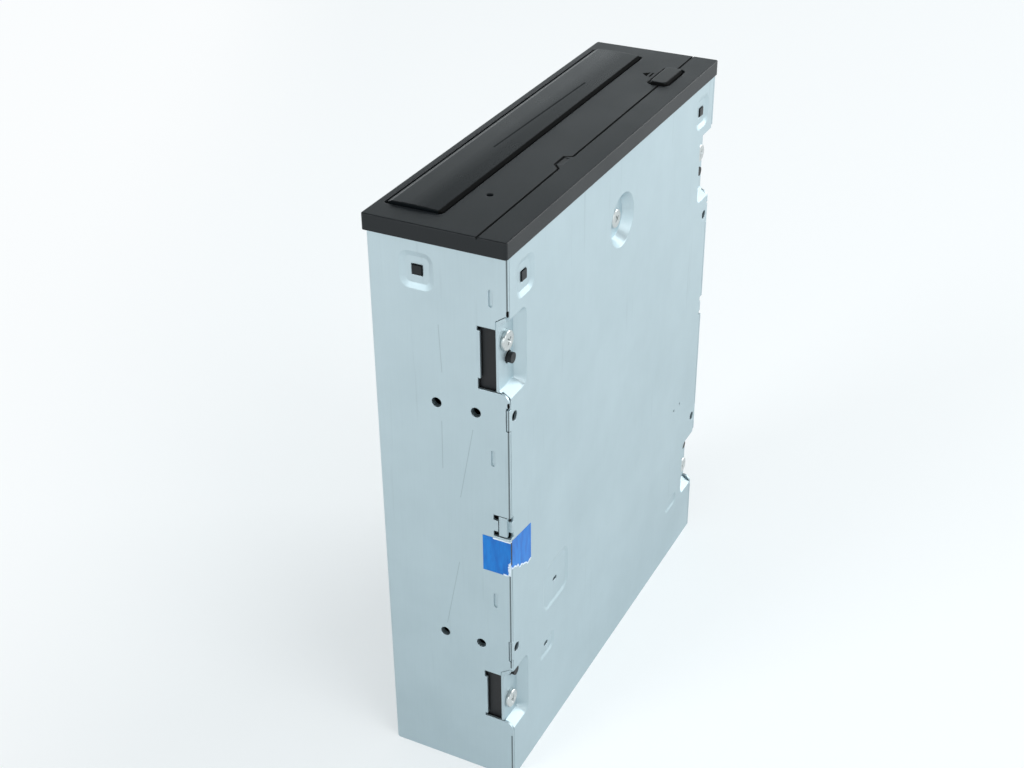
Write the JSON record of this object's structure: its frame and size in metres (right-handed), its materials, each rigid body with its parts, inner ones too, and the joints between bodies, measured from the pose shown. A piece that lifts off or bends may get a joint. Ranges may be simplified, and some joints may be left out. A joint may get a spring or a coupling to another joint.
{
  "type": "optical disc drive",
  "caption": "Half-height internal disc writer with a motor-driven tray, lifting traverse, steel case and dark bezel.",
  "frame": {"origin": "middle of the rear end, which the drive stands on", "axes": "+Z from the rear end to the bezel, +X to the drive's right seen from the front, +Y to its top cover"},
  "size_m": [0.148, 0.042, 0.1821],
  "materials": {
    "zinc_steel": "zinc-coated sheet, satin",
    "bezel_plastic": "moulded, fine grain",
    "door_plastic": "moulded, semi-gloss",
    "button_plastic": "moulded, fine grain",
    "light_guide": "clear moulded",
    "label_blue": "printed film",
    "chassis_plastic": "moulded, matte",
    "tray_plastic": "moulded, satin",
    "gear_plastic": "moulded acetal",
    "rubber": "moulded",
    "screw_steel": "nickel plated",
    "motor_steel": "plated can",
    "rod_steel": "ground",
    "cast_alloy": "die cast",
    "lens_glass": "coated",
    "board_laminate": "solder-masked laminate",
    "chip_epoxy": "moulded epoxy",
    "can_aluminium": "drawn",
    "socket_black": "moulded",
    "socket_white": "moulded",
    "contact_metal": "plated",
    "magnet_dark": "sintered"
  },
  "bodies": {
    "root": {"top_cover": "zinc_steel", "bottom_cover": "zinc_steel", "cover_screws": "screw_steel", "front_bezel": "bezel_plastic", "led_lens": "light_guide", "seal_label": "label_blue", "loader_chassis": "chassis_plastic", "drive_belt": "rubber", "loading_motor": "motor_steel", "clamper_bracket": "zinc_steel", "bracket_screws": "screw_steel", "main_board": "board_laminate", "board_screws": "screw_steel", "board_chips": "chip_epoxy", "board_capacitors": "can_aluminium", "data_socket": "socket_black", "power_socket": "socket_white", "jumper_block": "socket_black", "audio_sockets": "socket_white", "signal_pins": "contact_metal", "power_pins": "contact_metal", "front_board": "board_laminate", "eject_switch": "socket_black", "indicator_led": "socket_white"},
    "tray": {"disc_tray": "tray_plastic", "tray_door": "door_plastic"},
    "button": {"eject_button": "button_plastic"},
    "plunger": {"switch_plunger": "socket_white"},
    "cam": {"cam_slider": "gear_plastic"},
    "traverse": {"lift_frame": "chassis_plastic", "damper_bushes": "rubber", "damper_screws": "screw_steel", "traverse_plate": "zinc_steel", "spindle_motor": "motor_steel", "guide_rods": "rod_steel", "rod_clips": "zinc_steel", "sled_motor": "motor_steel"},
    "rotor": {"turntable": "motor_steel", "turntable_ring": "rubber"},
    "sled": {"pickup_carriage": "cast_alloy"},
    "lens": {"lens_holder": "socket_black", "objective_lens": "lens_glass"},
    "screw": {"lead_screw": "rod_steel"},
    "clamper": {"clamp_puck": "tray_plastic", "clamp_magnet": "magnet_dark"},
    "drive_gear": {"tray_drive_gear": "gear_plastic"},
    "pulley": {"pulley_gear": "gear_plastic"},
    "motor_pulley": {"motor_pulley": "gear_plastic"}
  },
  "joints": [
    {"name": "tray_slide", "type": "slide", "parent": "root", "child": "tray", "axis": [0, 0, 1], "range_m": [0, 0.136]},
    {"name": "eject_button_press", "type": "slide", "parent": "root", "child": "button", "axis": [0, 0, -1], "range_m": [0, 0.0006], "stiffness_N_per_m": 2000},
    {"name": "plunger_press", "type": "slide", "parent": "root", "child": "plunger", "axis": [0, 0, -1], "range_m": [0, 0.0006]},
    {"name": "cam_slide", "type": "slide", "parent": "root", "child": "cam", "axis": [-1, 0, 0], "range_m": [0, 0.022]},
    {"name": "traverse_lift", "type": "hinge", "parent": "root", "child": "traverse", "pos_m": [0, -0.0084, 0.024], "axis": [-1, 0, 0], "range_deg": [0, 4.3]},
    {"name": "spindle_spin", "type": "hinge", "parent": "traverse", "child": "rotor", "pos_m": [0, -0.01474, 0.10826], "axis": [0, 0.9972, 0.075], "continuous": true},
    {"name": "sled_slide", "type": "slide", "parent": "traverse", "child": "sled", "axis": [0, 0.075, -0.9972], "range_m": [0, 0.034]},
    {"name": "lead_screw_spin", "type": "hinge", "parent": "traverse", "child": "screw", "pos_m": [0.031, -0.00446, 0.03031], "axis": [0, -0.075, 0.9972], "range_deg": [-4081, 0]},
    {"name": "lens_focus", "type": "slide", "parent": "sled", "child": "lens", "axis": [0, 0.9972, 0.075], "range_m": [-0.0004, 0.0005], "stiffness_N_per_m": 40},
    {"name": "clamper_spin", "type": "hinge", "parent": "root", "child": "clamper", "pos_m": [0, 0.01, 0.1085], "axis": [0, 1, 0], "continuous": true},
    {"name": "drive_gear_spin", "type": "hinge", "parent": "root", "child": "drive_gear", "pos_m": [-0.052, 0, 0.152], "axis": [0, -1, 0], "range_deg": [0, 975.03]},
    {"name": "pulley_gear_spin", "type": "hinge", "parent": "root", "child": "pulley", "pos_m": [-0.0342, 0, 0.15919], "axis": [0, 1, 0], "range_deg": [0, 2923.09]},
    {"name": "motor_pulley_spin", "type": "hinge", "parent": "root", "child": "motor_pulley", "pos_m": [0.0196, 0, 0.158], "axis": [0, 1, 0], "range_deg": [0, 10715.31]}
  ],
  "couplings": [
    {"joint": "plunger_press", "follows": "eject_button_press", "ratio": 1},
    {"joint": "traverse_lift", "follows": "cam_slide", "rad_per_m": 3.4133},
    {"joint": "lead_screw_spin", "follows": "sled_slide", "rad_per_m": -2094.4},
    {"joint": "drive_gear_spin", "follows": "tray_slide", "rad_per_m": 125},
    {"joint": "pulley_gear_spin", "follows": "tray_slide", "rad_per_m": 375},
    {"joint": "motor_pulley_spin", "follows": "tray_slide", "rad_per_m": 1375}
  ]
}
